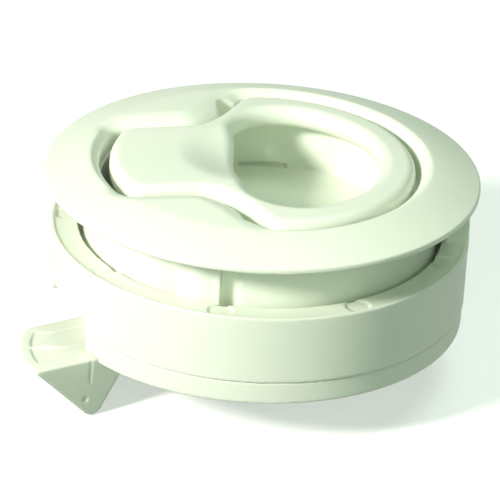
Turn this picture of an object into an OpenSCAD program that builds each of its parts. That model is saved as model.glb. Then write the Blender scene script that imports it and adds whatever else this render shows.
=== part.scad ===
// Round flush slam latch for a hatch or locker door.
// A domed bezel drops into a round panel cut-out and a rear housing clamps it
// from behind. Lifting the ring handle swings an arm that draws a spring-loaded
// wedge bolt inwards; letting go sends the bolt out again.
// Millimetres. The origin is the centre of the flange seat, +Z is the outside
// face and X runs along the handle, with the tab at -X and the ring at +X.

/* [Bezel] */
// Outer radius of the flange
flange_r = 38; // [37.5:0.5:42]
// Thickness of the flange at its rim
flange_edge = 1; // [0.8:0.1:1.5]
// Radius of the crest that surrounds the handle recess
lip_r = 29.2; // [29:0.1:29.8]
// Height of that crest above the flange seat
lip_z = 3.8; // [3.5:0.1:4.2]
// Height of the middle of the domed face above the flange seat
crown_z = 4.9; // [4.6:0.1:5.4]
// Outer radius of the cup that passes through the panel
cup_r = 31; // [30.8:0.1:31.2]
// Depth of the cup below the flange seat
cup_depth = 12.5; // [12:0.1:12.8]
// Inner radius of the finger cup
finger_r = 25.5; // [24:0.1:25.6]
// Depth of the finger cup's floor below the flange seat
finger_depth = 9.5; // [8:0.1:10]

/* [Handle] */
// Outer radius of the handle's ring
handle_r = 26.6; // [26:0.1:26.8]
// Half width of the handle's tab
tab_w = 12.8; // [12:0.1:13]
// Radius of the tab's round end, about the latch's centre
tab_r = 26.7; // [26.4:0.1:26.8]
// Radius of the finger hole
hole_r = 20.2; // [18:0.1:20.5]
// Distance of the finger hole's straight side from the centre
hole_flat = 4.1; // [3.8:0.1:5.5]
// Depth of the handle's underside below the flange seat
handle_under = 0.2; // [0:0.1:0.4]
// Angle that the handle lifts
lift = 31; // [20:1:31]
// Distance of the hinge pin from the centre, towards the tab
pivot_x = 17; // [16.8:0.1:17.2]
// Depth of the hinge pin below the flange seat
pivot_z = 1.2; // [1:0.1:1.4]
// Radius of the hinge pin
pin_r = 1.5; // [1.4:0.05:1.6]
// Length of the arm, from the hinge pin to the middle of its nose
arm_l = 17; // [16.8:0.1:17.1]

/* [Rear housing] */
// Outer radius of the rear housing
housing_r = 36.7; // [36.5:0.1:37]
// Depth of the housing's clamping rim below the flange seat
rim_z = 8.8; // [8.5:0.1:9.5]
// Depth of the seam between the housing and its cover
seam_z = 21; // [20.8:0.1:21.2]
// Depth of the cover's underside
base_z = 25; // [24.9:0.1:25.2]
// Wall thickness of the housing
wall = 2.5; // [2.2:0.1:2.6]

/* [Bolt] */
// Direction of the bolt about the latch's axis
bolt_angle = 204; // [200:1:206]
// Width of the bolt
bolt_w = 15; // [14:0.1:15.2]
// Distance of the bolt's nose from the latch's axis
bolt_nose = 47.2; // [44:0.1:48]
// Depth of the bolt's wedge below its flat top
wedge_h = 10.9; // [9:0.1:11.2]

/* [Hidden] */
$fn = 96;
eps = 0.01;
plastic = "ivory";
steel = "silver";
brass = "goldenrod";

// Gaps
handle_gap = 0.9;        // between the handle and the wall of its recess
end_gap = 1.8;           // between the tab's end and the wall of its recess
slide_gap = 0.35;        // each side of the sliding bolt
run = 0.05;              // radial clearance of a shaft that turns in its hole
nose_play = 0.5;         // each side of the arm's nose in the bolt's slot

// Handle mechanism
swing = lift / 2;        // the arm swings this far to each side of straight down
arm_w = 5;               // width of the arm along the hinge
nose_r = 2.5;            // radius of the arm's round nose
nose_x = -pivot_x - arm_l * sin(swing);
slide_travel = 2 * arm_l * sin(swing) / -cos(bolt_angle);
barrel_r = 3.2;
barrel_l = 16;
well_w = tab_w + handle_gap;
well_r = tab_r + end_gap - 0.3;   // leaves a small step under the recess
well_floor = -10.5;
well_right = -7.6;       // right-hand wall of the well under the tab
finger_left = -6;        // left-hand wall of the finger cup

// Clamp screws: a fixing circle through the cup's bosses
screw_angles = [245, 115];
screw_circle = 27;
screw_r = 2;
screw_head_r = 3.6;
screw_head_h = 2.6;
screw_top = -5;
washer_r = 4;
washer_t = 0.8;
insert_r = 3;
insert_l = 8;
boss_r = 4.3;
sleeve_r = 5.2;
sleeve_seat = -19;       // face in the sleeve that carries the washer

// Housing
deck_top = -13.2;
deck_bot = -14.8;
bore_r = 32;
bead_h = 0.35;
bead_w = 0.7;
cavity_r = housing_r - wall;
lug_half = 14;           // half angle of the anti-rotation lug
lug_h = 4.5;
notch = [171, 210.5];    // angles between which the bolt's window opens
notch_top = -17.8;
window_r = 31;           // the window starts at this radius
floor_t = 1.6;
cover_r = housing_r - 0.2;
mark_r = 2.1;
mark_step = 40;
mark_first = 13;
cover_screw_angles = [285, 5, 80, 158];
cover_screw_circle = 30.4;
cover_boss_r = 2.8;
cover_screw_r = 1.15;
cover_head_r = 2.3;

// Bolt
bolt_top = -base_z + 0.6;  // the bolt runs in a shallow channel of the cover
plate_top = -15.5;
plate_bot = -20.5;
plate_w = 14;
plate_in = -2;           // inner end of the slide plate, along the bolt's direction
plate_out = 31;
neck_in = 22;
lobe = [12.5, 28.5];     // the part of the plate that the arm works in
lobe_w = 15.5;
lobe_r = 29.4;           // the lobe ends at this radius
rail_in = plate_in - slide_travel;
rail_out = [2, 11];      // outer ends of the rails, on the lobe's side and on the other
rod_w = 4.5;             // offset of the two springs from the bolt's centre line
rod_z = (plate_top + plate_bot) / 2;
rod_r = 1.4;
rod_in = -12;
rod_out = 6;
spring_wall = -28.5;
spring_mean = 2.25;
wire_r = 0.35;
ramp_out = 47;           // slope of the wedge's outer face
ramp_in = 58;            // slope of the wedge's inner face
apex_r = 2;
apex_u = 36.2;

function pol(r, a) = [r * cos(a), r * sin(a)];
function arc(c, r, a0, a1, n) = [for (i = [0:n]) c + pol(r, a0 + (a1 - a0) * i / n)];
function bez(p, t) = pow(1 - t, 3) * p[0] + 3 * t * pow(1 - t, 2) * p[1]
                   + 3 * t * t * (1 - t) * p[2] + pow(t, 3) * p[3];
function curve(p, n) = [for (i = [0:n]) bez(p, i / n)];
function flip(p) = [for (i = [len(p) - 1:-1:0]) [p[i].x, -p[i].y]];
function dome(r) = crown_z - (crown_z - lip_z) * pow(r / lip_r, 2);

// Upper half of the handle's keyhole outline, grown by g (and by e at the tab's end)
function keyhole_half(g, e) =
    let (r = handle_r + g, w = tab_w + g, end = tab_r + e, fillet = 3.5,
         cy = w - fillet, cx = -sqrt(pow(end - fillet, 2) - cy * cy), turn = 91.6 + 2.7 * g, join = pol(r, turn))
    concat(arc([0, 0], end, 180, atan2(cy, cx), 8),
           arc([cx, cy], fillet, atan2(cy, cx), 90, 6),
           curve([[-12.6 - g, w], [-7.3 - 1.37 * g, w], join + pol(6.5, 239), join], 12),
           arc([0, 0], r, turn, 0, 40));
module keyhole(g = 0, e = 0) {
    half = keyhole_half(g, e);
    polygon(concat(half, flip(half)));
}
module finger_hole() {
    fillet = 7.5;
    cx = fillet - hole_flat;
    cy = sqrt(pow(hole_r - fillet, 2) - cx * cx);
    half = concat(arc([cx, cy], fillet, 180, atan2(cy, cx), 10), arc([0, 0], hole_r, atan2(cy, cx), 0, 30));
    polygon(concat(half, flip(half)));
}
// Places children at a radius and angle about the latch's axis
module at(r, a) { rotate([0, 0, a]) translate([r, 0, 0]) children(); }
// The bolt's own frame: +X runs outwards along the bolt
module bolt_frame() { rotate([0, 0, bolt_angle]) children(); }
// Sector of a disc between two angles under 180 degrees apart
module sector(a0, a1, r) { polygon(concat([[0, 0]], arc([0, 0], r, a0, a1, 24))); }
module rod_y(r, l) { rotate([90, 0, 0]) cylinder(r = r, h = l, center = true); }
module rod_x(r, x0, x1) { translate([x0, 0, 0]) rotate([0, 90, 0]) cylinder(r = r, h = x1 - x0); }

// Round tube of radius r along the points p
function unit(v) = v / norm(v);
function heading(p, i) = unit(p[min(i + 1, len(p) - 1)] - p[max(i - 1, 0)]);
module tube(p, r, sides = 8, up = [0, 0, 1]) {
    n = len(p);
    points = [for (i = [0:n - 1])
        let (t = heading(p, i), a = unit(cross(t, up)), b = cross(a, t))
        for (k = [0:sides - 1]) p[i] + r * (cos(360 * k / sides) * a + sin(360 * k / sides) * b)];
    faces = concat([[for (k = [0:sides - 1]) k]],
        [for (i = [0:n - 2]) for (k = [0:sides - 1])
            [i * sides + k, (i + 1) * sides + k, (i + 1) * sides + (k + 1) % sides, i * sides + (k + 1) % sides]],
        [[for (k = [sides - 1:-1:0]) (n - 1) * sides + k]]);
    polyhedron(points, faces);
}

// Solid of revolution with the bezel's domed face, flange and cup
module bezel_blank() {
    face = [for (i = [0:16]) let (r = lip_r * i / 16) [r, dome(r)]];
    brow = curve([[lip_r, lip_z], [lip_r + 3, lip_z - 0.65], [flange_r - 3, flange_edge + 1.1],
                  [flange_r, flange_edge]], 10);
    rotate_extrude()
        polygon(concat(face, brow, [[flange_r, 0], [cup_r, 0], [cup_r, -cup_depth], [0, -cup_depth]]));
}
// Bevel that runs from the crest down to the wall of the recess
module recess_bevel() {
    drop = 1.5;
    rotate_extrude() polygon([[handle_r + handle_gap - 0.4, lip_z - drop - 0.5], [handle_r + handle_gap, lip_z - drop],
                              [lip_r, lip_z + eps], [lip_r, lip_z + 4], [handle_r - 2, lip_z + 4]]);
}
module bezel() {
    relief = 1.3;
    color(plastic)
    difference() {
        union() {
            bezel_blank();
            for (a = screw_angles) at(screw_circle, a) translate([0, 0, 0.3 - cup_depth])
                cylinder(r = boss_r, h = cup_depth);
        }
        // recess for the handle, with its bevelled rim beside the ring and the tab's end
        translate([0, 0, -handle_under - handle_gap]) linear_extrude(20) keyhole(handle_gap, end_gap);
        intersection() {
            recess_bevel();
            union() {
                translate([-3, -flange_r, -5]) cube([2 * flange_r, 2 * flange_r, 20]);
                translate([-flange_r, -well_w, -5]) cube([flange_r, 2 * well_w, 20]);
            }
        }
        // well under the tab, finger cup and slot for the arm
        translate([0, 0, well_floor]) linear_extrude(20) intersection() {
            circle(r = well_r);
            translate([-flange_r, -well_w]) square([flange_r + well_right, 2 * well_w]);
        }
        intersection() {
            translate([0, 0, -finger_depth]) cylinder(r = finger_r, h = 20);
            translate([finger_left, -flange_r, -finger_depth]) cube([2 * flange_r, 2 * flange_r, 20]);
        }
        translate([-24.5, -arm_w / 2 - 0.7, -cup_depth - 1]) cube([15, arm_w + 1.4, 5]);
        // hinge pin, inserts, lightening groove and drain slit
        translate([-pivot_x, 0, -pivot_z]) rod_y(pin_r, 80);
        for (a = screw_angles) at(screw_circle, a) translate([0, 0, -cup_depth - 1])
            cylinder(r = insert_r, h = insert_l + 1);
        rotate([0, 0, -80]) translate([0, 0, -cup_depth - 1])
            rotate_extrude(angle = 160) translate([27.5, 0]) square([1.7, cup_depth - 3]);
        rotate([0, 0, 73]) rotate_extrude(angle = 20)
            translate([finger_r - 1, -finger_depth - 0.35]) square([1.6, 0.5]);
        // outer relief on one side of each boss and a narrow groove on the other
        for (m = [0, 1]) mirror([0, m, 0]) {
            rotate([0, 0, screw_angles[0] - 27]) translate([0, 0, -cup_depth - 1])
                rotate_extrude(angle = 19) translate([cup_r - relief, 0]) square([relief + 1, cup_depth + 1]);
            rotate([0, 0, screw_angles[0] + 6.5]) translate([0, 0, -cup_depth - 1])
                rotate_extrude(angle = 6) translate([cup_r - 2.2, 0]) square([4, cup_depth + 1]);
        }
    }
}

module arm() {
    // leans back at rest, so that it swings evenly about straight down
    rotate([0, swing, 0]) {
        translate([-2.3, -arm_w / 2, -arm_l]) cube([4.6, arm_w, arm_l]);
        translate([0, 0, -arm_l]) rod_y(nose_r, arm_w);
    }
}
module handle() {
    round = 1.5;
    dish_r = 14;
    dish_depth = 2.2;
    top = [for (i = [0:14]) let (r = (tab_r - round) * i / 14) [r, dome(r) - 0.3]];
    color(plastic)
    difference() {
        union() {
            intersection() {
                translate([0, 0, -handle_under]) linear_extrude(12) keyhole();
                rotate_extrude() polygon(concat(top, [[tab_r, dome(tab_r) - 0.3 - round],
                                                      [tab_r, -handle_under], [0, -handle_under]]));
            }
            translate([-pivot_x, 0, -pivot_z]) {
                rod_y(barrel_r, barrel_l);
                arm();
            }
        }
        translate([0, 0, -20]) linear_extrude(40) finger_hole();
        translate([-pivot_x, 0, -pivot_z]) rod_y(pin_r + run, 80);
        // pockets that hold the return spring and match it on the other side
        for (s = [-1, 1]) translate([-pivot_x, s * (barrel_l / 2 + 2.2), -pivot_z]) rod_y(3.9, 4.4);
        // thumb dish at the edge of the finger hole
        translate([1 - hole_flat, 0, dome(hole_flat) - 0.3 - dish_depth + dish_r]) sphere(r = dish_r);
    }
}
module handle_pin() {
    color(steel) translate([-pivot_x, 0, -pivot_z]) rod_y(pin_r, 44);
}
module handle_spring() {
    turns = 3.5;
    r = 2.3;
    y0 = barrel_l / 2 + 0.7;
    pitch = 0.95;
    coil = [for (i = [0:turns * 12]) let (a = 30 * i)
        [-pivot_x + r * cos(a), y0 + pitch * a / 360, -pivot_z - r * sin(a)]];
    last = coil[len(coil) - 1];
    color(steel) tube(concat([last + [0, 0, -7], last + [0, 0, -3.5]], [for (i = [len(coil) - 1:-1:0]) coil[i]],
        [coil[0] + [0, -0.1, 1.2], coil[0] + [0, -0.1, 2.2]]), 0.4, 8, [0.02, 1, 0.03]);
}

// Section of the anti-rotation lug: x is the radius, y the height
function lug_profile() =
    let (r0 = bore_r + 0.6, r1 = housing_r - 0.05, top = -rim_z + lug_h, soft = 1.6)
    concat([[r0, -rim_z - 1.5], [r0, top - 0.8], [r0 + 0.8, top]],
           arc([r1 - soft, top - soft], soft, 90, 0, 6), [[r1, -rim_z - 1.5]]);
module rear_housing() {
    rail_w = 1.5;
    color(plastic)
    difference() {
        union() {
            difference() {
                translate([0, 0, -seam_z]) cylinder(r = housing_r, h = seam_z - rim_z);
                translate([0, 0, deck_top]) cylinder(r = bore_r, h = 20);
                translate([0, 0, -rim_z - bead_h]) cylinder(r = housing_r - bead_w, h = 20);
                translate([0, 0, -seam_z - 1]) cylinder(r = cavity_r, h = seam_z + 1 + deck_bot);
            }
            // anti-rotation lug on the rim
            intersection() {
                rotate_extrude() polygon(lug_profile());
                translate([0, 0, -rim_z - 2]) linear_extrude(20) sector(-lug_half, lug_half, 60);
            }
            // rails that guide the bolt, the wall that its springs push on, and the sleeves and bosses
            bolt_frame() {
                for (i = [0, 1]) translate([rail_in, (2 * i - 1) * (plate_w / 2 + slide_gap + rail_w / 2) - rail_w / 2,
                                            -seam_z + 0.5])
                    cube([rail_out[i] - rail_in, rail_w, seam_z - 0.5 + deck_bot + eps]);
                translate([spring_wall - 2, -9, -seam_z]) cube([2, 18, seam_z + deck_bot + eps]);
            }
            for (a = screw_angles) at(screw_circle, a) translate([0, 0, -base_z + 0.1])
                cylinder(r = sleeve_r, h = base_z - 0.1 + deck_top);
            for (a = cover_screw_angles) at(cover_screw_circle, a) translate([0, 0, -seam_z])
                cylinder(r = cover_boss_r, h = seam_z + deck_top);
        }
        // the bolt's window
        translate([0, 0, -seam_z - 1]) linear_extrude(seam_z + 1 + notch_top)
            difference() { sector(notch[0], notch[1], 50); circle(r = window_r); }
        // slot for the arm, sleeve bores and pilot holes
        translate([-24.8, -arm_w / 2 - 1, deck_bot - 1]) cube([16, arm_w + 2, 4]);
        for (a = screw_angles) at(screw_circle, a) {
            translate([0, 0, -base_z - 1]) cylinder(r = screw_r + 0.3, h = base_z);
            translate([0, 0, -base_z - 1]) cylinder(r = washer_r + 0.2, h = base_z + 1 + sleeve_seat);
        }
        for (a = cover_screw_angles) at(cover_screw_circle, a) translate([0, 0, -seam_z - 1])
            cylinder(r = cover_screw_r, h = 7);
        // ejector marks on the rim
        for (i = [1:8]) at((bore_r + housing_r - bead_w) / 2, mark_first + mark_step * i)
            translate([0, 0, -rim_z - bead_h - 0.15]) cylinder(r = mark_r, h = 2);
    }
}
module rear_cover() {
    channel_in = wedge_heel() - slide_travel - 0.5;
    color(plastic)
    difference() {
        union() {
            difference() {
                translate([0, 0, -base_z]) cylinder(r = cover_r, h = base_z - seam_z);
                translate([0, 0, -base_z + floor_t]) cylinder(r = cavity_r, h = 10);
            }
            for (a = cover_screw_angles) at(cover_screw_circle, a) translate([0, 0, -base_z + floor_t / 2])
                cylinder(r = cover_boss_r, h = base_z - seam_z - floor_t / 2);
        }
        // slot for the bolt's neck and the bolt's window
        bolt_frame() translate([neck_in - slide_travel - slide_gap, -plate_w / 2 - slide_gap, -base_z - 1])
            cube([plate_out + slide_travel - neck_in + 2 * slide_gap, plate_w + 2 * slide_gap, 8]);
        // channel under the floor for the wedge's flat top
        bolt_frame() translate([channel_in, -bolt_w / 2 - slide_gap, -base_z - 1])
            cube([housing_r, bolt_w + 2 * slide_gap, bolt_top + 0.3 + base_z + 1]);
        translate([0, 0, -base_z - 1]) linear_extrude(8)
            difference() { sector(notch[0], notch[1], 50); circle(r = window_r); }
        for (a = screw_angles) at(screw_circle, a) translate([0, 0, -base_z - 1]) cylinder(r = sleeve_r + 0.2, h = 8);
        for (a = cover_screw_angles) at(cover_screw_circle, a) {
            translate([0, 0, -base_z - 1]) cylinder(r = cover_screw_r + 0.2, h = 8);
            translate([0, 0, -base_z - 1]) cylinder(r = cover_head_r + 0.2, h = 1 + 0.9);
        }
    }
}

// Wedge outline in the plane of the bolt: x outwards, y up
function wedge_apex() = [apex_u, bolt_top - wedge_h + apex_r];
function wedge_heel() =
    let (p = wedge_apex() + pol(apex_r, 270 - ramp_in)) p.x - (bolt_top - p.y) / tan(ramp_in);
function wedge() =
    let (foot = wedge_apex() + pol(apex_r, ramp_out - 90),
         nose_y = foot.y + (bolt_nose - foot.x) * tan(ramp_out))
    concat([[wedge_heel(), bolt_top], [bolt_nose, bolt_top], [bolt_nose, min(nose_y, bolt_top - 0.3)]],
           arc(wedge_apex(), apex_r, ramp_out - 90, -90 - ramp_in, 8));
module bolt() {
    blend = 17.2;            // radius of the rounded far corner of the nose
    color(plastic) bolt_frame()
    difference() {
        union() {
            intersection() {
                translate([0, bolt_w / 2, 0]) rotate([90, 0, 0]) linear_extrude(bolt_w) polygon(wedge());
                translate([bolt_nose - blend, bolt_w / 2 - 2.4, -60]) cylinder(r = blend, h = 60);
            }
            translate([neck_in, -plate_w / 2, bolt_top - eps]) cube([plate_out - neck_in, plate_w, plate_top - bolt_top]);
            translate([plate_in, -plate_w / 2, plate_bot]) cube([plate_out - plate_in, plate_w, plate_top - plate_bot]);
            intersection() {
                translate([lobe[0], -lobe_w, plate_bot]) cube([lobe[1] - lobe[0], lobe_w, plate_top - plate_bot]);
                translate([0, 0, plate_bot]) cylinder(r = lobe_r, h = plate_top - plate_bot);
            }
        }
        // slot that the arm's nose works in: straight across the handle, as long as the bolt's side travel
        rotate([0, 0, -bolt_angle]) translate([nose_x, -arm_w / 2, plate_bot - 1])
            translate([-nose_r - nose_play, slide_travel * sin(bolt_angle) - 0.4, 0])
                cube([2 * (nose_r + nose_play), arm_w + 0.8 - slide_travel * sin(bolt_angle), plate_top - plate_bot + 2]);
        for (s = [-1, 1]) translate([0, s * rod_w, rod_z]) rod_x(rod_r, plate_in - 1, rod_out);
    }
}
module bolt_spring(s) {
    turns = 9;
    steps = 12;
    l = plate_in - spring_wall - 2 * wire_r;
    color(steel) bolt_frame()
        tube([for (i = [0:turns * steps]) let (a = 360 * i / steps)
            [spring_wall + wire_r + l * i / (turns * steps), s * rod_w + spring_mean * cos(a), rod_z + spring_mean * sin(a)]],
            wire_r, 8, [1, 0, 0]);
}
module spring_rod(s) {
    color(steel) bolt_frame() translate([0, s * rod_w, rod_z]) rod_x(rod_r, rod_in, rod_out);
}

module clamp_screw(a) {
    seat = sleeve_seat - washer_t;
    color(steel) at(screw_circle, a) difference() {
        union() {
            translate([0, 0, seat - screw_head_h]) cylinder(r = screw_head_r, h = screw_head_h);
            translate([0, 0, seat - eps]) cylinder(r = screw_r, h = screw_top - seat);
        }
        translate([0, 0, seat - screw_head_h - 1]) linear_extrude(2.4) {
            square([4.4, 0.9], center = true);
            square([0.9, 4.4], center = true);
        }
    }
}
module clamp_washer(a) {
    color(steel) at(screw_circle, a) translate([0, 0, sleeve_seat - washer_t]) difference() {
        cylinder(r = washer_r, h = washer_t);
        translate([0, 0, -1]) cylinder(r = screw_r + 0.2, h = 4);
    }
}
module screw_insert(a) {
    color(brass) at(screw_circle, a) translate([0, 0, -cup_depth]) difference() {
        cylinder(r = insert_r, h = insert_l);
        translate([0, 0, -1]) cylinder(r = screw_r + run, h = insert_l + 2);
    }
}
module cover_screw(a) {
    color(steel) at(cover_screw_circle, a) difference() {
        union() {
            translate([0, 0, -base_z - 0.2]) cylinder(r = cover_head_r, h = 1.1);
            translate([0, 0, -base_z]) cylinder(r = cover_screw_r, h = 9);
        }
        translate([0, 0, -base_z - 1]) linear_extrude(1.5) {
            square([2.8, 0.6], center = true);
            square([0.6, 2.8], center = true);
        }
    }
}

bezel();
handle();
handle_pin();
handle_spring();
rear_housing();
rear_cover();
bolt();
bolt_spring(-1);  // bolt_spring_left
bolt_spring(1);  // bolt_spring_right
spring_rod(-1);  // spring_rod_left
spring_rod(1);  // spring_rod_right
clamp_screw(screw_angles[0]);  // clamp_screw_front
clamp_screw(screw_angles[1]);  // clamp_screw_rear
clamp_washer(screw_angles[0]);  // clamp_washer_front
clamp_washer(screw_angles[1]);  // clamp_washer_rear
screw_insert(screw_angles[0]);  // screw_insert_front
screw_insert(screw_angles[1]);  // screw_insert_rear
cover_screw(cover_screw_angles[0]);  // cover_screw_1
cover_screw(cover_screw_angles[1]);  // cover_screw_2
cover_screw(cover_screw_angles[2]);  // cover_screw_3
cover_screw(cover_screw_angles[3]);  // cover_screw_4
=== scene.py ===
import math

import bpy
import numpy as np
from mathutils import Matrix, Vector


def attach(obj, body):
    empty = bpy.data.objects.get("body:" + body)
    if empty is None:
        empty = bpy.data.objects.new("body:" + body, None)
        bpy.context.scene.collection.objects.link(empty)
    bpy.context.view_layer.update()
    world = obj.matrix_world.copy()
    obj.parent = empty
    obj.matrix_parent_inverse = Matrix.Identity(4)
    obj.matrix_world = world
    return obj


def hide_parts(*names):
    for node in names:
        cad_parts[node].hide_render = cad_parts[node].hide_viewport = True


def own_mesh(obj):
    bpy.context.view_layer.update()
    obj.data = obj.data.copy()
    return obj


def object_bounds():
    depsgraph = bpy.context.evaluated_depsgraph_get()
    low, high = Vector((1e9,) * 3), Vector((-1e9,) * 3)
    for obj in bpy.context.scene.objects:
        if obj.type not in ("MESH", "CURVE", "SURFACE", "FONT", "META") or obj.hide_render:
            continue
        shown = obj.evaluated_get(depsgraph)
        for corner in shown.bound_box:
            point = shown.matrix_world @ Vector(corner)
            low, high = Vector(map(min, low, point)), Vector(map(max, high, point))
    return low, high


# Looks of a round flush slam latch. Each moulding is worked out as a distance field in
# millimetres, meshed, and put in the place of its CAD node. Lengths are in millimetres and
# angles in degrees until a mesh or a light is made, where MM turns them into metres.

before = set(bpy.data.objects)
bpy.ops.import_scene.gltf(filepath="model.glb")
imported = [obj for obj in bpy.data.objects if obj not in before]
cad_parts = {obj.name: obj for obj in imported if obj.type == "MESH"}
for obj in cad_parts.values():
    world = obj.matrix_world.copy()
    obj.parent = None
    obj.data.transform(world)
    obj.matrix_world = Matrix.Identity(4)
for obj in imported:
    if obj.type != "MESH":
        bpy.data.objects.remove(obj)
cad_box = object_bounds()

MM = 0.001
STEP = 0.27
PAST_AXIS = -3          # a turned profile closes beyond the axis, so that no wall forms on it
BELOW, ABOVE = -30, 0   # ends for cutters that run out of a moulding

# Bezel
FLANGE_R, FLANGE_EDGE = 38, 1
LIP_R, LIP_Z, CROWN_Z = 29.2, 3.8, 4.9
CUP_R, CUP_DEPTH = 31, 12.5
FINGER_R, FINGER_DEPTH, FINGER_LEFT = 25.5, 9.5, -6
WELL_R, WELL_W, WELL_FLOOR, WELL_RIGHT = 28.2, 13.7, -10.5, -7.6
RECESS_FLOOR, RIM_DROP, ARM_RUN = -1.1, 1.5, 0.7
HANDLE_GAP, END_GAP = 0.9, 1.8
BOSS_R, GROOVE_IN, GROOVE_OUT, GROOVE_SPREAD = 4.3, 27.5, 29.2, 80
SLIT_ANGLES, RELIEF_ANGLES, NICK_ANGLES, NICK_DEPTH = (73, 93), (-23, -8), (6.5, 12.5), 2.2

# Handle
HANDLE_R, TAB_W, TAB_R, HANDLE_UNDER, HANDLE_DROP = 26.6, 12.8, 26.7, 0.2, 0.3
TAB_FILLET, NECK_START, NECK_LEAD, NECK_TURN = 3.5, -12.6, -7.3, 91.6
HOLE_R, HOLE_FLAT, HOLE_FILLET, DISH_R, DISH_DEPTH = 20.2, 4.1, 9, 14, 2.2
PIVOT_X, PIVOT_Z, PIN_R, PIN_HALF = -17, -1.2, 1.5, 22
BARREL_R, BARREL_L = 3.2, 16
ARM_L, ARM_W, ARM_R, ARM_LEAN, NOSE_R = 17, 5, 2.2, 15.5, 2.5
COIL_R, COIL_PITCH, COIL_WIRE_R = 2.3, 0.95, 0.4

# Rear housing and cover
HOUSING_R, RIM_Z, SEAM_Z, BASE_Z, WALL = 36.7, -8.8, -21, -25, 2.5
BORE_R, BEAD_H, BEAD_W, DECK_TOP, DECK_BOT = 32, 0.35, 0.7, -13.2, -14.8
CAVITY_R, COVER_R, FLOOR_T = HOUSING_R - WALL, HOUSING_R - 0.2, 1.6
LUG_HALF, LUG_H = 14, 4.5
RAIL_T, WALL_HALF, WALL_T = 1.5, 9, 2
NOTCH, NOTCH_TOP, WINDOW_R = (171, 210.5), -17.8, 31
MARK_R, MARK_STEP, MARK_FIRST, MARK_DEPTH = 2.1, 40, 13, 0.3
SCREW_ANGLES, SCREW_CIRCLE, SCREW_R = (245, 115), 27, 2
SLEEVE_R, SLEEVE_SEAT, WASHER_R, WASHER_T, INSERT_R, INSERT_L = 5.2, -19, 4, 0.8, 3, 8
SCREW_HEAD, SCREW_TOP = (3.6, 2.6), -5
COVER_SCREW_ANGLES, COVER_SCREW_CIRCLE = (285, 5, 80, 158), 30.4
COVER_BOSS_R, COVER_SCREW_R, COVER_HEAD_R, COVER_SEAT = 2.8, 1.15, 2.3, BASE_Z + 0.9

# Bolt, in its own frame: u outwards along the bolt, w across it towards the handle's front
BOLT_ANGLE, BOLT_W, BOLT_NOSE, BOLT_TOP, WEDGE_H = 204, 15, 47.2, -24.4, 10.9
PLATE_TOP, PLATE_BOT, PLATE_W, PLATE_IN, PLATE_OUT = -15.5, -20.5, 14, -2, 31
RAIL_OUT = (2, 11)
NECK_IN, LOBE, LOBE_W, LOBE_R = 22, (12.5, 28.5), 15.5, 29.4
ROD_W, ROD_R, ROD_IN, ROD_OUT, ROD_Z = 4.5, 1.4, -12, 6, (PLATE_TOP + PLATE_BOT) / 2
SPRING_WALL, SPRING_MEAN, SPRING_TURNS, WIRE_R = -28.5, 2.25, 9, 0.35
RAMP_OUT, RAMP_IN, APEX_R, APEX_U, SLIDE_GAP = 47, 58, 2, 36.2, 0.35
TRAVEL = 2 * ARM_L * math.sin(math.radians(ARM_LEAN)) / -math.cos(math.radians(BOLT_ANGLE))


# ---- points and outlines -------------------------------------------------------------

def polar(radius, angle):
    """The point at a radius and an angle."""
    a = math.radians(angle)
    return radius * math.cos(a), radius * math.sin(a)


def arc(centre, radius, start, end, n):
    """Points along an arc of n steps, both ends included."""
    turn = [polar(radius, start + (end - start) * i / n) for i in range(n + 1)]
    return [(centre[0] + x, centre[1] + y) for x, y in turn]


def bezier(p, q, r, s, n):
    """Points along a cubic curve of n steps, both ends included."""
    t = np.linspace(0, 1, n + 1)[:, None]
    p, q, r, s = (np.array(v, float) for v in (p, q, r, s))
    points = (1 - t) ** 3 * p + 3 * t * (1 - t) ** 2 * q + 3 * t * t * (1 - t) * r + t**3 * s
    return [tuple(v) for v in points]


def mirrored(half):
    """The closed outline whose upper half is given from left to right."""
    return half + [(x, -y) for x, y in reversed(half)][1:-1]


def keyhole(grow, grow_end):
    """Outline of the handle, grown by one distance at its sides and another at the tab's end."""
    ring, side, end = HANDLE_R + grow, TAB_W + grow, TAB_R + grow_end
    cy = side - TAB_FILLET
    cx = -math.sqrt((end - TAB_FILLET) ** 2 - cy * cy)
    corner = math.degrees(math.atan2(cy, cx))
    tab = arc((0, 0), end, 180, corner, 24) + arc((cx, cy), TAB_FILLET, corner, 90, 14)[1:]

    # the flare would meet the ring at an angle, so its last steps give way to a rounded knee
    turn = NECK_TURN + 1.9 * grow
    join = polar(ring, turn)
    lead = tuple(np.add(join, polar(6.5, 239)))
    flare = bezier((NECK_START - grow, side), (NECK_LEAD - grow, side), lead, join, 30)[:-9]
    knee = bezier(flare[-1], join, join, polar(ring, turn - 12), 14)[1:]
    return mirrored(tab + flare + knee + arc((0, 0), ring, turn - 12, 0, 90)[1:])


def finger_hole():
    """Outline of the handle's hole: a circle with one straight side and soft corners."""
    cx = HOLE_FILLET - HOLE_FLAT
    cy = math.sqrt((HOLE_R - HOLE_FILLET) ** 2 - cx * cx)
    corner = math.degrees(math.atan2(cy, cx))
    half = arc((cx, cy), HOLE_FILLET, 180, corner, 40) + arc((0, 0), HOLE_R, corner, 0, 60)[1:]
    return half + [(x, -y) for x, y in reversed(half)][1:]


# ---- distance fields: negative inside, in millimetres ---------------------------------

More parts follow.
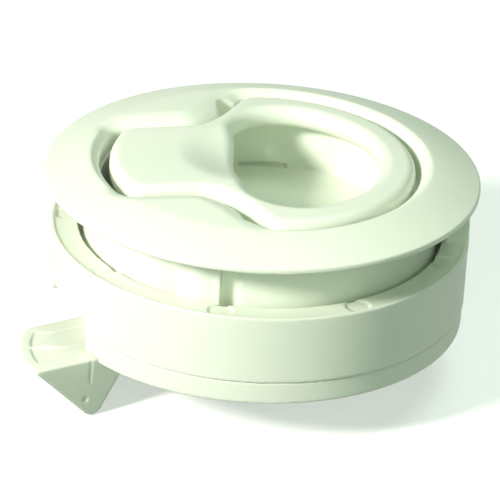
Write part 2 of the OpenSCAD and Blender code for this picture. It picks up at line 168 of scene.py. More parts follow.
def outline_field(points, x, y):
    """Signed distance to a closed outline."""
    nearest = np.full(np.broadcast(x, y).shape, 1e9, np.float32)
    inside = np.zeros(nearest.shape, bool)
    for (ax, ay), (bx, by) in zip(points, points[1:] + points[:1]):
        ex, ey = bx - ax, by - ay
        length = ex * ex + ey * ey
        if length < 1e-12:
            continue
        t = np.clip(((x - ax) * ex + (y - ay) * ey) / length, 0, 1)
        nearest = np.minimum(nearest, (x - ax - t * ex) ** 2 + (y - ay - t * ey) ** 2)
        if abs(ey) > 1e-9:
            crossed = ((ay <= y) != (by <= y)) & (x < ax + (y - ay) / ey * ex)
            inside ^= crossed
    return (np.sqrt(nearest) * np.where(inside, -1, 1)).astype(np.float32)


def both(a, b, soft=0.0):
    """Where both fields are solid, with the new edge rounded to a radius."""
    if not soft:
        return np.maximum(a, b)
    p, q = np.maximum(a + soft, 0), np.maximum(b + soft, 0)
    return np.minimum(np.maximum(a, b), -soft) + np.hypot(p, q)


def either(a, b, soft=0.0):
    """Where either field is solid, with the new corner filled to a radius."""
    return -both(-a, -b, soft)


def cut(a, b, soft=0.0):
    """The first field without the second, with the new edge rounded to a radius."""
    return both(a, -b, soft)


def fade(value, start, end):
    """Rises smoothly from 0 to 1 between two values."""
    t = np.clip((value - start) / (end - start), 0, 1)
    return t * t * (3 - 2 * t)


class Block:
    """The box of sample points in which one moulding's field is worked out."""

    def __init__(self, low, high, step):
        self.low, self.step = np.array(low, float), step
        counts = [int(math.ceil((h - l) / step)) + 1 for l, h in zip(low, high)]
        x, y, z = (l + step * np.arange(n, dtype=np.float32) for l, n in zip(low, counts))
        self.x, self.y, self.z = x[:, None, None], y[None, :, None], z[None, None, :]
        self.r = np.hypot(self.x, self.y)

    def lathe(self, profile):
        """Solid of revolution about Z, from an outline of (radius, height) points."""
        spacing = 0.1
        radii = np.arange(0, self.r.max() + 2 * spacing, spacing, dtype=np.float32)
        table = outline_field(profile, radii[:, None], self.z[0])
        place = self.r[:, :, 0] / spacing
        lower = place.astype(int)
        share = (place - lower)[:, :, None]
        return table[lower] * (1 - share) + table[lower + 1] * share

    def prism(self, outline):
        """Upright wall round an outline, without ends."""
        return outline_field(outline, self.x[:, :, 0], self.y[:, :, 0])[:, :, None]

    def slab(self, low, high):
        """Everything between two heights."""
        return np.maximum(low - self.z, self.z - high)

    def drum(self, radius, low, high, at=(0, 0), soft=0.0):
        """Upright cylinder between two heights."""
        return both(np.hypot(self.x - at[0], self.y - at[1]) - radius, self.slab(low, high), soft)

    def brick(self, low, high, soft=0.0):
        """Box between two corners."""
        sides = [np.maximum(l - v, v - h) for v, l, h in zip((self.x, self.y, self.z), low, high)]
        return both(both(sides[0], sides[1], soft), sides[2], soft)

    def rod_y(self, radius, half, x, z, y=0.0):
        """Cylinder along Y, half its length to each side of y."""
        return both(np.hypot(self.x - x, self.z - z) - radius, abs(self.y - y) - half)

    def rod_x(self, radius, low, high, y, z):
        """Cylinder along X between two ends."""
        return both(np.hypot(self.y - y, self.z - z) - radius, np.maximum(low - self.x, self.x - high))

    def sector(self, start, end):
        """Wedge about Z between two angles less than 180 degrees apart."""
        (sx, sy), (ex, ey) = polar(1, start), polar(1, end)
        return np.maximum(self.x * sy - self.y * sx, self.y * ex - self.x * ey)


# ---- field to mesh --------------------------------------------------------------------

def cells_and_points(field):
    """One point in each cell that the surface passes through, at the mean of its crossings."""
    solid = field < 0
    size = [n - 1 for n in solid.shape]
    corners = [(i, j, k) for i in (0, 1) for j in (0, 1) for k in (0, 1)]
    count = sum(solid[i:i + size[0], j:j + size[1], k:k + size[2]].astype(np.int8) for i, j, k in corners)
    mixed = (count > 0) & (count < 8)
    cells = np.argwhere(mixed)
    index = np.full(mixed.shape, -1, np.int32)
    index[mixed] = np.arange(len(cells))
    value = {c: field[tuple((cells + c).T)] for c in corners}
    total, hits = np.zeros((len(cells), 3)), np.zeros(len(cells))
    for a in corners:
        for axis in range(3):
            if a[axis]:
                continue
            b = tuple(int(a[n] or n == axis) for n in range(3))
            crossed = (value[a] < 0) != (value[b] < 0)
            t = value[a][crossed] / (value[a][crossed] - value[b][crossed])
            point = np.tile(np.array(a, float), (len(t), 1))
            point[:, axis] += t
            total[crossed] += point
            hits[crossed] += 1
    return solid, index, cells + total / hits[:, None]


def faces_of(solid, index):
    """A quad round each grid edge that the surface crosses, facing outwards."""
    found = []
    for axis in range(3):
        u, v = (axis + 1) % 3, (axis + 2) % 3
        first = [slice(1, -1)] * 3
        second = [slice(1, -1)] * 3
        first[axis], second[axis] = slice(0, -1), slice(1, None)
        a, b = solid[tuple(first)], solid[tuple(second)]
        for crossed, turned in ((a & ~b, False), (~a & b, True)):
            start = np.argwhere(crossed)
            start[:, u] += 1
            start[:, v] += 1
            ring = []
            for du, dv in ((-1, -1), (0, -1), (0, 0), (-1, 0)):
                cell = start.copy()
                cell[:, u] += du
                cell[:, v] += dv
                ring.append(index[tuple(cell.T)])
            quads = np.stack(ring, axis=1)
            found.append(quads[:, ::-1] if turned else quads)
    return np.concatenate(found)


def mesh_object(name, points, quads):
    """Object with smooth quads, written in bulk because mouldings have many of them."""
    mesh = bpy.data.meshes.new(name)
    mesh.vertices.add(len(points))
    mesh.vertices.foreach_set("co", points.astype(np.float32).ravel())
    mesh.loops.add(4 * len(quads))
    mesh.loops.foreach_set("vertex_index", quads.astype(np.int32).ravel())
    mesh.polygons.add(len(quads))
    mesh.polygons.foreach_set("loop_start", np.arange(0, 4 * len(quads), 4, dtype=np.int32))
    mesh.polygons.foreach_set("use_smooth", np.ones(len(quads), bool))
    mesh.update(calc_edges=True)
    mesh.validate()
    piece = bpy.data.objects.new(name, mesh)
    bpy.context.scene.collection.objects.link(piece)
    return piece


def mould(name, block, field, finish, body, node, turn=0.0):
    """Meshes a field and puts it in the place of a CAD node."""
    solid, index, points = cells_and_points(np.pad(field, 1, constant_values=9.0))
    points = (block.low - block.step + points * block.step) * MM
    if turn:
        points = points @ np.array(Matrix.Rotation(math.radians(turn), 3, "Z")).T
    dress(mesh_object(name, points, faces_of(solid, index)), finish, body, node)


def dress(piece, finish, body, node):
    """Gives a piece its material, the body that it moves with and the CAD node that it replaces."""
    piece.data.materials.append(finish)
    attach(piece, body)
    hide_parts(node)


# ---- materials ------------------------------------------------------------------------

def new_material(name, roughness, metallic=0.0):
    """Material, its node tree's nodes and links, its shader and its object coordinates."""
    material = bpy.data.materials.new(name)
    material["slot"] = name
    material.use_nodes = True
    nodes, links = material.node_tree.nodes, material.node_tree.links
    shader = nodes["Principled BSDF"]
    shader.inputs["Metallic"].default_value = metallic
    shader.inputs["Roughness"].default_value = roughness
    place = nodes.new("ShaderNodeTexCoord").outputs["Object"]
    return material, nodes, links, shader, place


def noise(nodes, links, place, scale, detail=3.0):
    """Cloudy values at a place; more scale makes them smaller."""
    node = nodes.new("ShaderNodeTexNoise")
    node.inputs["Scale"].default_value = scale
    node.inputs["Detail"].default_value = detail
    links.new(place, node.inputs["Vector"])
    return node.outputs["Fac"]


def ramp(nodes, links, value, low, high):
    """Colour that runs from low to high over the middle of a value's range."""
    node = nodes.new("ShaderNodeValToRGB")
    for element, place, colour in zip(node.color_ramp.elements, (0.3, 0.7), (low, high)):
        element.position = place
        element.color = (*colour, 1)
    links.new(value, node.inputs["Fac"])
    return node.outputs["Color"]


def grey(v):
    return v, v, v


def white_plastic():
    """Glossy white moulding with a fine spark-eroded grain and faint flow clouds."""
    material, nodes, links, shader, place = new_material("white_plastic", 0.4)
    tint = ramp(nodes, links, noise(nodes, links, place, 45), (0.83, 0.88, 0.77), (0.87, 0.90, 0.80))
    links.new(tint, shader.inputs["Base Color"])
    gloss = ramp(nodes, links, noise(nodes, links, place, 260, 4), grey(0.36), grey(0.46))
    links.new(gloss, shader.inputs["Roughness"])
    shader.inputs["Subsurface Weight"].default_value = 0.12
    shader.inputs["Subsurface Radius"].default_value = (0.0012, 0.0012, 0.0009)
    shader.inputs["Subsurface Scale"].default_value = 1.0
    shader.inputs["Specular IOR Level"].default_value = 0.45
    bump = nodes.new("ShaderNodeBump")
    bump.inputs["Strength"].default_value = 0.12
    bump.inputs["Distance"].default_value = 0.00006
    links.new(noise(nodes, links, place, 2600, 2), bump.inputs["Height"])
    links.new(bump.outputs["Normal"], shader.inputs["Normal"])
    return material


def metal(name, colour, dark, roughness, scale):
    """Machined metal: short turning marks and slight tarnish."""
    material, nodes, links, shader, place = new_material(name, roughness, 1.0)
    tint = ramp(nodes, links, noise(nodes, links, place, 500), dark, colour)
    links.new(tint, shader.inputs["Base Color"])
    stretch = nodes.new("ShaderNodeMapping")
    stretch.inputs["Scale"].default_value = (1, 1, 9)
    links.new(place, stretch.inputs["Vector"])
    marks = noise(nodes, links, stretch.outputs["Vector"], scale)
    gloss = ramp(nodes, links, marks, grey(roughness - 0.08), grey(roughness + 0.1))
    links.new(gloss, shader.inputs["Roughness"])
    bump = nodes.new("ShaderNodeBump")
    bump.inputs["Strength"].default_value = 0.25
    bump.inputs["Distance"].default_value = 0.00003
    links.new(marks, bump.inputs["Height"])
    links.new(bump.outputs["Normal"], shader.inputs["Normal"])
    return material


# ---- mouldings ------------------------------------------------------------------------

def dome(radius):
    """Height of the crowned face at a radius."""
    return CROWN_Z - (CROWN_Z - LIP_Z) * (radius / LIP_R) ** 2


def make_bezel(finish):
    b = Block((-38.5, -38.5, -13), (38.5, 38.5, 7), STEP)
    brow = bezier((LIP_R, LIP_Z), (LIP_R + 3, LIP_Z - 0.65), (FLANGE_R - 3, FLANGE_EDGE + 1.1),
                  (FLANGE_R, FLANGE_EDGE), 12)
    face = [(r, dome(r)) for r in np.linspace(0, LIP_R, 17)]
    edge = [(FLANGE_R, 0), (CUP_R, 0), (CUP_R, -CUP_DEPTH)]
    body = b.lathe([(PAST_AXIS, CROWN_Z)] + face + brow[1:] + edge + [(PAST_AXIS, -CUP_DEPTH)])
    for a in SCREW_ANGLES:
        body = either(body, b.drum(BOSS_R, -CUP_DEPTH, 0, polar(SCREW_CIRCLE, a)), 0.3)

    # recess for the handle, with a bevel all round its rim that is softest beside the pads
    outline = b.prism(keyhole(HANDLE_GAP, END_GAP))
    slope = RIM_DROP / (LIP_R - HANDLE_R - HANDLE_GAP)
    bevel = (LIP_Z - RIM_DROP + np.maximum(outline, -1) * slope - b.z) * 0.75
    pad = fade(-1 - b.x, 0, 6) * fade(abs(b.y), 10, 14)
    body = cut(body, bevel, 0.35) * (1 - pad) + cut(body, bevel, 1.6) * pad
    recess = both(outline, RECESS_FLOOR - b.z, 0.4)
    well = both(both(b.r - WELL_R, abs(b.y) - WELL_W, 1.5), both(b.x - WELL_RIGHT, WELL_FLOOR - b.z, 0.6))
    cup = both(both(b.r - FINGER_R, FINGER_LEFT - b.x, 1.5), -FINGER_DEPTH - b.z, 0.5)
    slot = b.brick((-24.5, -ARM_W / 2 - ARM_RUN, -14), (-9.5, ARM_W / 2 + ARM_RUN, -8), 0.3)
    body = cut(body, either(either(recess, either(well, cup)), slot), 0.35)

    # hinge bore, insert bores, lightening groove and drain slit
    body = cut(body, b.rod_y(PIN_R, 30, PIVOT_X, PIVOT_Z))
    for a in SCREW_ANGLES:
        body = cut(body, b.drum(INSERT_R, -20, INSERT_L - CUP_DEPTH, polar(SCREW_CIRCLE, a)))
    groove = both(both(GROOVE_IN - b.r, b.r - GROOVE_OUT), b.sector(-GROOVE_SPREAD, GROOVE_SPREAD))
    body = cut(body, both(groove, b.z + 3, 0.4), 0.2)
    slit = both(both(FINGER_R - 1 - b.r, b.r - FINGER_R - 0.6),
                b.slab(-FINGER_DEPTH - 0.35, -FINGER_DEPTH + 0.15))
    body = cut(body, both(slit, b.sector(*SLIT_ANGLES)))

    # beside each boss, a relief that starts tangent to the cup and curves in to a step on one
    # side, and a narrow nick on the other; a fault to know: within 7 mm of the axis the relief
    # also cuts a thin wedge out of the finger cup's floor
    curve_r = 12
    for sign in (1, -1):
        start, end, nick_start, nick_end = (sign * (SCREW_ANGLES[0] + a) for a in RELIEF_ANGLES + NICK_ANGLES)
        cx, cy = polar(CUP_R - curve_r, start)
        curve = curve_r - np.hypot(b.x - cx, b.y - cy)
        relief = both(b.sector(*sorted((start, end))), curve, 0.2)
        body = cut(body, both(relief, b.z), 0.2)
        nick = both(b.sector(*sorted((nick_start, nick_end))), CUP_R - NICK_DEPTH - b.r, 0.4)
        body = cut(body, both(nick, b.z), 0.2)
    mould("bezel_moulding", b, body, finish, "frame", "bezel")


def make_handle(finish):
    b = Block((-27.8, -27, -21), (27, 27, 6.6), STEP)
    hole = b.prism(finger_hole())
    body = both(b.prism(keyhole(0, 0)), b.z - (dome(b.r) - HANDLE_DROP), 1.7)
    body = cut(body, hole, 2.6)
    # the underside is round beside the hole and nearly sharp at the outside
    body = both(body, both(-hole, -HANDLE_UNDER - b.z, 2.8), 0.5)
    dish_z = dome(HOLE_FLAT) - HANDLE_DROP - DISH_DEPTH + DISH_R
    dish = np.sqrt((b.x + HOLE_FLAT - 1) ** 2 + b.y**2 + (b.z - dish_z) ** 2) - DISH_R
    body = cut(body, dish, 3)

    # barrel and arm; the arm leans back at rest
    body = either(body, b.rod_y(BARREL_R, BARREL_L / 2, PIVOT_X, PIVOT_Z), 0.5)
    s, c = math.sin(math.radians(ARM_LEAN)), math.cos(math.radians(ARM_LEAN))
    along = np.clip(-(b.x - PIVOT_X) * s - (b.z - PIVOT_Z) * c, 0, ARM_L)
    off = np.hypot(b.x - PIVOT_X + along * s, b.z - PIVOT_Z + along * c)
    arm = off - ARM_R - (NOSE_R - ARM_R) * fade(along, ARM_L - 3, ARM_L)
    body = either(body, both(arm, abs(b.y) - ARM_W / 2, 0.4), 0.6)

    # room for the spring at both ends of the barrel, and the bore for the pin
    room = 2.2
    for sign in (1, -1):
        body = cut(body, b.rod_y(3.9, room, PIVOT_X, PIVOT_Z, sign * (BARREL_L / 2 + room)), 0.2)
    body = cut(body, b.rod_y(PIN_R + 0.05, 40, PIVOT_X, PIVOT_Z))
    mould("handle_moulding", b, body, finish, "handle", "handle")


def make_housing(finish):
    b = Block((-37, -37, -25.2), (37, 37, -4), STEP)
    rim = RIM_Z - BEAD_H
    body = b.lathe([(CAVITY_R, SEAM_Z), (HOUSING_R, SEAM_Z), (HOUSING_R, RIM_Z), (HOUSING_R - BEAD_W, RIM_Z),
                    (HOUSING_R - BEAD_W, rim), (BORE_R, rim), (BORE_R, DECK_TOP), (PAST_AXIS, DECK_TOP),
                    (PAST_AXIS, DECK_BOT), (CAVITY_R, DECK_BOT)])

    # anti-rotation lug, rounder on its outside
    top = b.z - RIM_Z - LUG_H
    lug = both(both(BORE_R + 0.6 - b.r, top, 0.8), both(b.r - HOUSING_R + 0.05, top, 1.6))
    lug = both(both(lug, b.sector(-LUG_HALF, LUG_HALF), 0.4), rim - 1.5 - b.z)
    body = either(body, lug, 0.25)

    # rails and spring wall, turned to the bolt's direction
    c, s = polar(1, BOLT_ANGLE)
    u, w = b.x * c + b.y * s, -b.x * s + b.y * c
    ends = np.where(w < 0, RAIL_OUT[0], RAIL_OUT[1])
    side = abs(abs(w) - PLATE_W / 2 - SLIDE_GAP - RAIL_T / 2) - RAIL_T / 2
    rail = both(side, np.maximum(PLATE_IN - TRAVEL - u, u - ends), 0.3)
    wall = both(abs(w) - WALL_HALF, abs(u - SPRING_WALL + WALL_T / 2) - WALL_T / 2, 0.3)
    body = either(body, both(either(rail, wall), b.slab(SEAM_Z + 0.25, DECK_BOT + 0.5)), 0.4)
    for a in SCREW_ANGLES:
        body = either(body, b.drum(SLEEVE_R, BASE_Z + 0.1, DECK_TOP, polar(SCREW_CIRCLE, a)), 0.3)
    for a in COVER_SCREW_ANGLES:
        body = either(body, b.drum(COVER_BOSS_R, SEAM_Z, DECK_TOP, polar(COVER_SCREW_CIRCLE, a)), 0.3)

    # window for the bolt, slot for the arm, screw bores and ejector marks
    window = both(both(b.sector(*NOTCH), WINDOW_R - b.r), b.z - NOTCH_TOP, 0.8)
    body = cut(body, window, 0.3)
    body = cut(body, b.brick((-24.8, -ARM_W / 2 - 1, -16), (-8.8, ARM_W / 2 + 1, -12), 0.3), 0.2)
    for a in SCREW_ANGLES:
        body = cut(body, b.drum(SCREW_R + 0.3, BELOW, ABOVE, polar(SCREW_CIRCLE, a)))
        body = cut(body, b.drum(WASHER_R + 0.2, BELOW, SLEEVE_SEAT, polar(SCREW_CIRCLE, a)), 0.2)
    for a in COVER_SCREW_ANGLES:
        body = cut(body, b.drum(COVER_SCREW_R, BELOW, SEAM_Z + 6, polar(COVER_SCREW_CIRCLE, a)))
    for i in range(1, 9):
        at = polar((BORE_R + HOUSING_R - BEAD_W) / 2, MARK_FIRST + MARK_STEP * i)
        body = cut(body, b.drum(MARK_R, rim - MARK_DEPTH, ABOVE, at), 0.05)
    mould("rear_housing_moulding", b, body, finish, "frame", "rear_housing")


def make_cover(finish):
    b = Block((-36.7, -36.7, -25.2), (36.7, 36.7, -20.8), STEP)
    shell = b.drum(COVER_R, BASE_Z, SEAM_Z, soft=0.2)
    body = cut(shell, b.drum(CAVITY_R, BASE_Z + FLOOR_T, ABOVE, soft=0.6), 0.2)
    for a in COVER_SCREW_ANGLES:
        body = either(body, b.drum(COVER_BOSS_R, BASE_Z + 0.8, SEAM_Z, polar(COVER_SCREW_CIRCLE, a)), 0.3)

    # slot for the bolt's neck, window and channel for its wedge, and the screws' holes
    c, s = polar(1, BOLT_ANGLE)
    u, w = b.x * c + b.y * s, -b.x * s + b.y * c
    low, high = NECK_IN - TRAVEL - SLIDE_GAP, PLATE_OUT + SLIDE_GAP
    body = cut(body, both(abs(w) - PLATE_W / 2 - SLIDE_GAP, np.maximum(low - u, u - high), 0.6), 0.25)
    body = cut(body, both(b.sector(*NOTCH), WINDOW_R - b.r), 0.25)
    heel = wedge_outline()[0][0] - TRAVEL - 0.5
    channel = both(both(abs(w) - BOLT_W / 2 - SLIDE_GAP, heel - u), b.z - BOLT_TOP - 0.3)
    body = cut(body, channel, 0.15)
    for a in SCREW_ANGLES:
        body = cut(body, b.drum(SLEEVE_R + 0.2, BELOW, ABOVE, polar(SCREW_CIRCLE, a)), 0.2)
    for a in COVER_SCREW_ANGLES:
        body = cut(body, b.drum(COVER_SCREW_R + 0.2, BELOW, ABOVE, polar(COVER_SCREW_CIRCLE, a)))
        body = cut(body, b.drum(COVER_HEAD_R + 0.2, BELOW, COVER_SEAT, polar(COVER_SCREW_CIRCLE, a)), 0.15)
    mould("rear_cover_moulding", b, body, finish, "frame", "rear_cover")


def wedge_outline():
    """Side view of the wedge: distance along the bolt, and height."""
    c = (APEX_U, BOLT_TOP - WEDGE_H + APEX_R)
    foot, heel = (np.add(c, polar(APEX_R, a)) for a in (RAMP_OUT - 90, 270 - RAMP_IN))
    nose_z = foot[1] + (BOLT_NOSE - foot[0]) * math.tan(math.radians(RAMP_OUT))
    heel_u = heel[0] - (BOLT_TOP - heel[1]) / math.tan(math.radians(RAMP_IN))
    tip = [(heel_u, BOLT_TOP), (BOLT_NOSE, BOLT_TOP), (BOLT_NOSE, min(nose_z, BOLT_TOP - 0.3))]
    return tip + arc(c, APEX_R, RAMP_OUT - 90, -90 - RAMP_IN, 10)


def make_bolt(finish):
    b = Block((-3, -16, -36), (47.7, 8, -15), STEP * 0.7)
    side = outline_field(wedge_outline(), b.x[:, 0, :], b.z[0])[:, None, :]
    nose_r = 17.2
    plan = np.hypot(b.x - BOLT_NOSE + nose_r, b.y - BOLT_W / 2 + 2.4) - nose_r
    body = both(both(side, abs(b.y) - BOLT_W / 2, 0.35), plan, 0.5)
    for low in ((NECK_IN, -PLATE_W / 2, BOLT_TOP - 1), (PLATE_IN, -PLATE_W / 2, PLATE_BOT)):
        body = either(body, b.brick(low, (PLATE_OUT, PLATE_W / 2, PLATE_TOP), 0.3), 0.2)
    lobe = both(b.brick((LOBE[0], -LOBE_W, PLATE_BOT), (LOBE[1], 0, PLATE_TOP), 0.3), b.r - LOBE_R, 0.3)
    body = either(body, lobe, 0.2)

    # two faint tapered hollows in the flat top, deepest beside the thin rim at the nose
    floor = BOLT_TOP - 0.45 * fade(b.x, 38.8, 43.6)
    for start, end in ((-6.4, -1.4), (-0.4, 4.4)):
        middle, half = (start + end) / 2, (end - start) / 2
        taper = half * fade(b.x, 37.5, 43.2)
        hollow = both(abs(b.y - middle) - taper, plan + 2.0, 0.3)
        body = cut(body, both(hollow, floor - b.z, 0.3), 0.5)

    # dimple and faint crease on the near side
    dimple = np.sqrt((b.x - 37.6) ** 2 + (b.y - BOLT_W / 2 - 0.1) ** 2 + (b.z + 31.9) ** 2) - 0.5
    body = cut(body, dimple, 0.15)
    crease = both(abs(b.x - 36.7) - 0.12 - 0.04 * (b.z + 29), np.maximum(BOLT_W / 2 - 0.1 - b.y, -29 - b.z))
    body = cut(body, crease, 0.1)

    # slot for the arm's nose, square to the handle, and bores for the spring rods
    c, s = polar(1, BOLT_ANGLE)
    x, y = b.x * c - b.y * s, b.x * s + b.y * c
    lean = ARM_L * math.sin(math.radians(ARM_LEAN))
    across = TRAVEL * math.sin(math.radians(BOLT_ANGLE))
    mid, half = PIVOT_X - lean, NOSE_R + 0.5
    span = (across - ARM_W / 2 - 0.4, ARM_W / 2)
    slot = both(abs(x - mid) - half, np.maximum(span[0] - y, y - span[1]), 0.3)
    body = cut(body, both(slot, b.slab(PLATE_BOT - 1, PLATE_TOP + 1)), 0.2)
    for sign in (1, -1):
        body = cut(body, b.rod_x(ROD_R, PLATE_IN - 7, ROD_OUT, sign * ROD_W, ROD_Z))
    mould("bolt_moulding", b, body, finish, "bolt", "bolt", BOLT_ANGLE)


# ---- springs, screws and pins ---------------------------------------------------------

def steps(start, end, longest):
    """Even steps from start to end, none longer than a length."""
    return np.linspace(start, end, max(2, int(math.ceil(abs(end - start) / longest)) + 1))


def tube(name, path, radius, sides=12):
    """Round wire along a path, with closed ends."""
    path = np.array(path, float)
    along = np.gradient(path, axis=0)
    along /= np.linalg.norm(along, axis=1)[:, None]
    out = np.zeros_like(path)
    out[0] = np.cross(along[0], (0.31, 0.87, 0.38))
    for i in range(len(path)):
        if i:
            out[i] = out[i - 1] - along[i] * np.dot(out[i - 1], along[i])
        out[i] /= np.linalg.norm(out[i])
    over = np.cross(along, out)
    turn = np.arange(sides) * 2 * math.pi / sides
    rings = path[:, None, :] + radius * (np.cos(turn)[None, :, None] * out[:, None, :]
                                         + np.sin(turn)[None, :, None] * over[:, None, :])
    rings[0] = path[0] + (rings[0] - path[0]) * 0.7
    rings[-1] = path[-1] + (rings[-1] - path[-1]) * 0.7
    n = len(path)
    faces = []
    for low in range(0, (n - 1) * sides, sides):
        high = low + sides
        for k in range(sides):
            after = (k + 1) % sides
            faces.append([low + k, low + after, high + after, high + k])
    faces += [list(range(sides))[::-1], list(range((n - 1) * sides, n * sides))]
    return polygon_object(name, rings.reshape(-1, 3), faces)


def polygon_object(name, points, faces):
    """Smooth object from points in millimetres and faces of any size."""
    mesh = bpy.data.meshes.new(name)
    mesh.from_pydata([tuple(p) for p in points * MM], [], faces)
    mesh.validate()
    for face in mesh.polygons:
        face.use_smooth = True
    piece = bpy.data.objects.new(name, mesh)
    bpy.context.scene.collection.objects.link(piece)
    return piece


def make_bolt_spring(side, name, finish):
    """Compression spring, closer wound at its ends, that stands on the spring wall."""
    length = PLATE_IN - SPRING_WALL - 2 * WIRE_R
    path = []
    for turn in steps(0, SPRING_TURNS, 1 / 32):
        t = turn / SPRING_TURNS
        share = (t - 0.054 * math.sin(2 * math.pi * t)) * length
        a = 2 * math.pi * turn
        path.append((SPRING_WALL + WIRE_R + share, side * ROD_W + SPRING_MEAN * math.cos(a),
                     ROD_Z + SPRING_MEAN * math.sin(a)))
    c, s = polar(1, BOLT_ANGLE)
    piece = tube(name + "_coil", [(u * c - w * s, u * s + w * c, z) for u, w, z in path], WIRE_R)
    dress(piece, finish, "frame", name)
    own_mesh(piece)


def make_handle_spring(finish):
    """Torsion spring round the hinge pin, with one leg in the well and one under the tab."""
    start = BARREL_L / 2 + 0.7
    coil = []
    for a in steps(0, 7 * math.pi, 0.16):
        coil.append((PIVOT_X + COIL_R * math.cos(a), start + COIL_PITCH * a / (2 * math.pi),
                     PIVOT_Z - COIL_R * math.sin(a)))
    x, y, z = coil[-1]
    lower_leg = [(x, y, z - d) for d in steps(7, 0.5, 0.5)]
    x, y, z = coil[0]
    upper_leg = [(x, y - 0.1, z + d) for d in steps(0.5, 2.2, 0.4)]
    piece = tube("handle_spring_coil", lower_leg + coil[::-1] + upper_leg, COIL_WIRE_R)
    dress(piece, finish, "frame", "handle_spring")


def make_screw(name, centre, seat, head, shank, recess, finish):
    """Pan-head screw, head down: head is (radius, height), shank (radius, tip height, pitch) and
    recess (length, width, depth) of the cross."""
    (cx, cy), spare = centre, 0.4
    reach = head[0] + spare
    low, high = seat - head[1] - spare, shank[1] + spare
    b = Block((cx - reach, cy - reach, low), (cx + reach, cy + reach, high), 0.15)
    x, y = b.x - cx, b.y - cy
    r, turn = np.hypot(x, y), np.arctan2(y, x)
    cap = both(both(r - head[0], seat - head[1] - b.z, 0.9), b.z - seat, 0.15)
    ridge = 0.5 - 0.5 * np.cos(2 * math.pi * b.z / shank[2] - turn)
    thread = (r - shank[0] + 0.28 * ridge * fade(b.z, seat + 0.6, seat + 2)) * 0.7
    body = either(cap, both(thread, np.maximum(b.z - shank[1], seat - 0.5 - b.z), 0.6), 0.2)
    cross = np.minimum(np.maximum(abs(x) - recess[0] / 2, abs(y) - recess[1] / 2),
                       np.maximum(abs(y) - recess[0] / 2, abs(x) - recess[1] / 2))
    body = cut(body, both(cross, b.z - seat + head[1] - recess[2], 0.15), 0.1)
    mould(name + "_turned", b, body, finish, "frame", name)


def make_ring(name, centre, inner, outer, low, high, knurls, finish):
    """Washer or threaded insert; knurls roughen its outside."""
    (cx, cy), spare = centre, 0.3
    reach = outer + spare
    b = Block((cx - reach, cy - reach, low - spare), (cx + reach, cy + reach, high + spare), 0.14)
    x, y = b.x - cx, b.y - cy
    r, turn = np.hypot(x, y), np.arctan2(y, x)
    teeth = 0.16 * (0.5 + 0.5 * np.cos(knurls * turn)) if knurls else 0
    waist = 0.2 * np.exp(-((b.z - (low + high) / 2) / 0.5) ** 2) if knurls else 0
    body = cut(both(r - outer + teeth + waist, b.slab(low, high), 0.15), r - inner, 0.1)
    mould(name + "_turned", b, body, finish, "frame", name)


def make_rods(finish):
    """The hinge pin, and the rods that guide the bolt's springs."""
    b = Block((PIVOT_X - 2, -PIN_HALF - 0.4, PIVOT_Z - 2), (PIVOT_X + 2, PIN_HALF + 0.4, PIVOT_Z + 2), 0.16)
    pin = both(np.hypot(b.x - PIVOT_X, b.z - PIVOT_Z) - PIN_R, abs(b.y) - PIN_HALF, 0.4)
    mould("handle_pin_turned", b, pin, finish, "frame", "handle_pin")
    for side, name in ((-1, "spring_rod_left"), (1, "spring_rod_right")):
        w = side * ROD_W
        b = Block((ROD_IN - 0.4, w - 2, ROD_Z - 2), (ROD_OUT + 0.4, w + 2, ROD_Z + 2), 0.16)
        rod = both(np.hypot(b.y - w, b.z - ROD_Z) - ROD_R, np.maximum(ROD_IN - b.x, b.x - ROD_OUT), 0.5)
        mould(name + "_turned", b, rod, finish, "bolt", name, BOLT_ANGLE)


def make_fasteners(steel, brass):
    """Two clamp screws with their washers and inserts, and four cover screws."""
    for end, angle in zip(("front", "rear"), SCREW_ANGLES):
        at = polar(SCREW_CIRCLE, angle)
        seat = SLEEVE_SEAT - WASHER_T
        make_screw("clamp_screw_" + end, at, seat, SCREW_HEAD, (SCREW_R, SCREW_TOP, 0.9), (4.4, 0.9, 1.4),
                   steel)
        make_ring("clamp_washer_" + end, at, SCREW_R + 0.2, WASHER_R, seat, SLEEVE_SEAT, 0, steel)
        make_ring("screw_insert_" + end, at, SCREW_R + 0.05, INSERT_R, -CUP_DEPTH, INSERT_L - CUP_DEPTH, 22,
                  brass)
    for i, angle in enumerate(COVER_SCREW_ANGLES, 1):
        make_screw("cover_screw_%d" % i, polar(COVER_SCREW_CIRCLE, angle), COVER_SEAT, (COVER_HEAD_R, 1.1),
                   (COVER_SCREW_R, BASE_Z + 9, 0.8), (2.8, 0.6, 0.7), steel)


# ---- scene ----------------------------------------------------------------------------

def make_camera():
    """Looks down on the latch from its front left, through a long lens held slightly tilted."""
    pitch, roll, heading = (math.radians(a) for a in (26.671, 2.938, 7))
    ahead = Vector((math.cos(pitch) * math.sin(heading), math.cos(pitch) * math.cos(heading),
                    -math.sin(pitch)))
    level = Vector((math.cos(heading), -math.sin(heading), 0))
    above = level.cross(ahead)
    right = math.cos(roll) * level + math.sin(roll) * above
    up = math.cos(roll) * above - math.sin(roll) * level
    data = bpy.data.cameras.new("camera")
    data.sensor_width, data.lens = 36, 220.3
    data.clip_start, data.clip_end = 0.01, 20
    camera = bpy.data.objects.new("camera", data)
    turn = Matrix((right, up, -ahead)).transposed()
    camera.matrix_world = Matrix.Translation(Vector((-60.27, -478.54, 227.64)) * MM) @ turn.to_4x4()
    bpy.context.scene.collection.objects.link(camera)
    bpy.context.scene.camera = camera


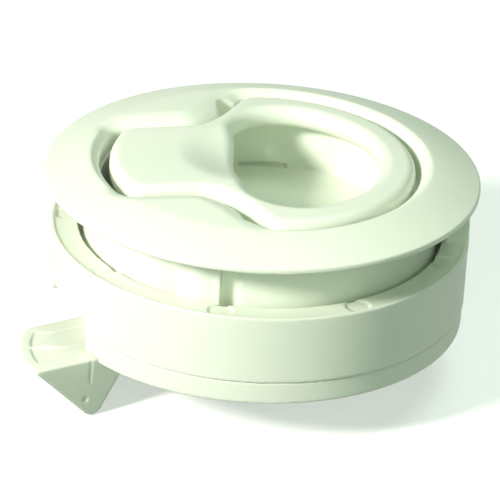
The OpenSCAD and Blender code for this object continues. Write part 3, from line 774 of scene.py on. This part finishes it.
def make_floor():
    """White floor just under the latch, which shows its shadow but sends it no diffuse light."""
    bpy.ops.mesh.primitive_plane_add(size=4, location=(0, 0, cad_box[0].z - 0.0002))
    floor = bpy.context.object
    floor.name = "floor"
    material, nodes, links, shader, place = new_material("floor_white", 0.9)
    tint = ramp(nodes, links, noise(nodes, links, place, 3), grey(0.93), grey(0.95))
    links.new(tint, shader.inputs["Base Color"])
    shader.inputs["Emission Color"].default_value = (1, 1, 1, 1)
    shader.inputs["Emission Strength"].default_value = 0.4
    floor.data.materials.append(material)
    floor.visible_diffuse = False


def lamp(name, azimuth, elevation, distance, size, power, colour):
    """Round soft light that shines at the origin from an azimuth and an elevation."""
    a, e = math.radians(azimuth), math.radians(elevation)
    back = Vector((math.cos(a) * math.cos(e), math.sin(a) * math.cos(e), math.sin(e)))
    data = bpy.data.lights.new(name, "AREA")
    data.shape, data.size, data.energy, data.color = "DISK", size, power, colour
    light = bpy.data.objects.new(name, data)
    light.location = back * distance
    light.rotation_euler = back.to_track_quat("Z", "Y").to_euler()
    bpy.context.scene.collection.objects.link(light)


def make_light():
    """Dim world, a small key light from the left, and large soft lights from the front and above."""
    world = bpy.data.worlds.new("studio")
    world.use_nodes = True
    background = world.node_tree.nodes["Background"]
    background.inputs["Color"].default_value = (0.80, 1.0, 0.82, 1)
    background.inputs["Strength"].default_value = 0.23
    bpy.context.scene.world = world
    bpy.context.scene.view_settings.view_transform = "Standard"
    lamp("key", -149, 29, 0.75, 0.14, 6.7, (1.0, 0.97, 0.90))
    lamp("fill", -95, 20, 0.75, 0.5, 1.0, (0.70, 1.0, 0.72))
    lamp("overhead", 20, 72, 0.8, 0.5, 1.9, (0.80, 1.0, 0.82))


def main():
    plastic = white_plastic()
    steel = metal("steel", (0.74, 0.75, 0.76), (0.62, 0.63, 0.64), 0.3, 1800)
    spring = metal("spring_steel", (0.64, 0.65, 0.67), (0.5, 0.51, 0.53), 0.33, 2400)
    brass = metal("brass", (0.8, 0.64, 0.32), (0.66, 0.5, 0.22), 0.3, 1800)
    make_bezel(plastic)
    make_handle(plastic)
    make_housing(plastic)
    make_cover(plastic)
    make_bolt(plastic)
    make_bolt_spring(-1, "bolt_spring_left", spring)
    make_bolt_spring(1, "bolt_spring_right", spring)
    make_handle_spring(spring)
    make_rods(steel)
    make_fasteners(steel, brass)
    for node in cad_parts.values():
        node.data.materials.clear()
        node.data.materials.append(plastic)
    make_camera()
    make_floor()
    make_light()


main()
